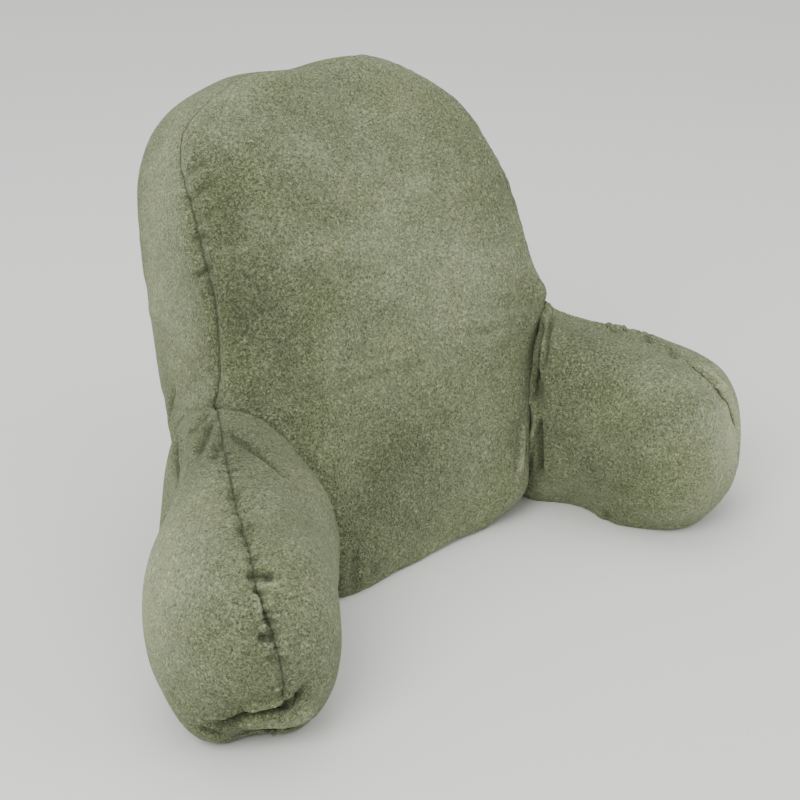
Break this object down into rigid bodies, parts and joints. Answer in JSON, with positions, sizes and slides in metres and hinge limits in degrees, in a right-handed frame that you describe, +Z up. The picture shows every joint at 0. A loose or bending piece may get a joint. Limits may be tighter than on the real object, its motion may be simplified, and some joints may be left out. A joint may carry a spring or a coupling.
{
  "type": "backrest pillow",
  "caption": "Upright filled backrest cushion with a crowned front, a deeper rear and a stout bolster arm on each side, in short-pile plush; it stands on a bed, sofa or floor.",
  "frame": {"origin": "middle of the footprint, on the surface that the pillow stands on", "axes": "+Z up; the arms reach forward along -Y; +X runs from the left arm to the right arm, as seen from the front"},
  "size_m": [0.6737, 0.4505, 0.4366],
  "materials": {
    "plush": "short-pile sage green plush, matt with a soft sheen"
  },
  "bodies": {
    "root": {"backrest": "plush", "arm_left": "plush", "arm_right": "plush"}
  },
  "joints": []
}
